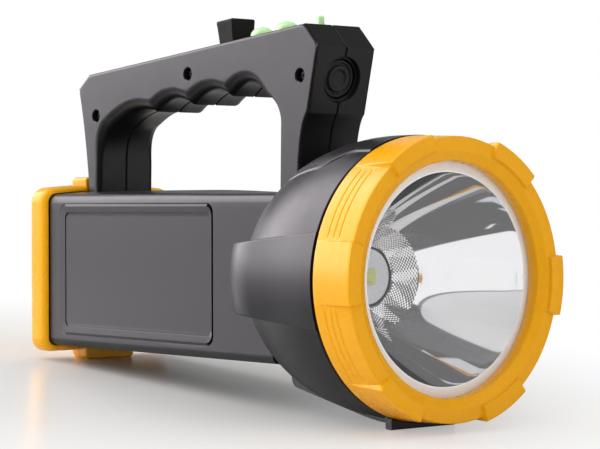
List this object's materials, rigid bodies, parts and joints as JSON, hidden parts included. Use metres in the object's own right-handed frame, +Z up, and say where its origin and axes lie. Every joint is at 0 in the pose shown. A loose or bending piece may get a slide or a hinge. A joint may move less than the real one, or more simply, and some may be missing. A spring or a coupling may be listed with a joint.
{
  "type": "hand-held searchlight",
  "caption": "Boxy rechargeable hand searchlight with a round reflector head, bezel with six lugs, strap handle with finger grooves, slide switch and push buttons.",
  "frame": {"origin": "on the surface that the lamp stands on, under the middle of its outer box", "axes": "+X forwards, the way the beam leaves; +Y to the lamp's left; +Z up. The lamp axis rises 4.21 degrees from +X."},
  "size_m": [0.2042, 0.092, 0.1288],
  "materials": {
    "black_plastic": "satin moulded ABS, fine even sheen",
    "yellow_plastic": "glossy moulded ABS",
    "black_rubber": "soft matte rubber",
    "clear_lens": "clear polished window",
    "mirror_coating": "bright vacuum metallised bowl",
    "lamp_board": "pale solder mask",
    "phosphor": "yellow phosphor under a clear dome",
    "sink_aluminium": "plain extruded",
    "screw_steel": "zinc plated",
    "knob_plastic": "satin moulded",
    "switch_steel": "tinned steel",
    "green_plastic": "pale translucent plastic",
    "circuit_board": "green solder mask",
    "cell_wrap": "shrink wrap",
    "holder_plastic": "moulded"
  },
  "bodies": {
    "lamp": {"body_housing": "black_plastic", "handle_left": "black_plastic", "handle_right": "black_plastic", "bezel_ring": "yellow_plastic", "rear_cap": "yellow_plastic", "bezel_seal": "black_rubber", "rear_cap_seal": "black_rubber", "front_lens": "clear_lens", "reflector": "mirror_coating", "led_board": "lamp_board", "led_emitter": "phosphor", "heat_sink": "sink_aluminium", "heat_sink_screw_1": "screw_steel", "heat_sink_screw_2": "screw_steel", "heat_sink_screw_3": "screw_steel", "handle_screw_1": "screw_steel", "handle_screw_2": "screw_steel", "handle_screw_3": "screw_steel", "handle_base_screw_1": "screw_steel", "handle_base_screw_2": "screw_steel", "handle_base_screw_3": "screw_steel", "handle_base_screw_4": "screw_steel", "rear_cap_screw_1": "screw_steel", "rear_cap_screw_2": "screw_steel", "rear_cap_screw_3": "screw_steel", "rear_cap_screw_4": "screw_steel", "slide_switch": "switch_steel", "charge_port": "switch_steel", "pilot_light": "green_plastic", "switch_board": "circuit_board", "charge_board": "circuit_board", "driver_board": "circuit_board", "battery_cell_1": "cell_wrap", "battery_cell_2": "cell_wrap", "battery_cell_3": "cell_wrap", "battery_cell_4": "cell_wrap", "battery_holder": "holder_plastic"},
    "knob": {"switch_knob": "knob_plastic"},
    "button_rear": {"rear_button": "green_plastic"},
    "button_front": {"front_button": "green_plastic"},
    "plug": {"charge_plug": "black_rubber"}
  },
  "joints": [
    {"name": "switch_slide", "type": "slide", "parent": "lamp", "child": "knob", "axis": [0.9871, 0, 0.16], "range_m": [0, 0.003]},
    {"name": "rear_button_press", "type": "slide", "parent": "lamp", "child": "button_rear", "axis": [0.16, 0, -0.9871], "range_m": [0, 0.001], "stiffness_N_per_m": 800},
    {"name": "front_button_press", "type": "slide", "parent": "lamp", "child": "button_front", "axis": [0.16, 0, -0.9871], "range_m": [0, 0.001], "stiffness_N_per_m": 800},
    {"name": "plug_pull", "type": "slide", "parent": "lamp", "child": "plug", "axis": [0.9875, 0, -0.1577], "range_m": [0, 0.009]}
  ]
}
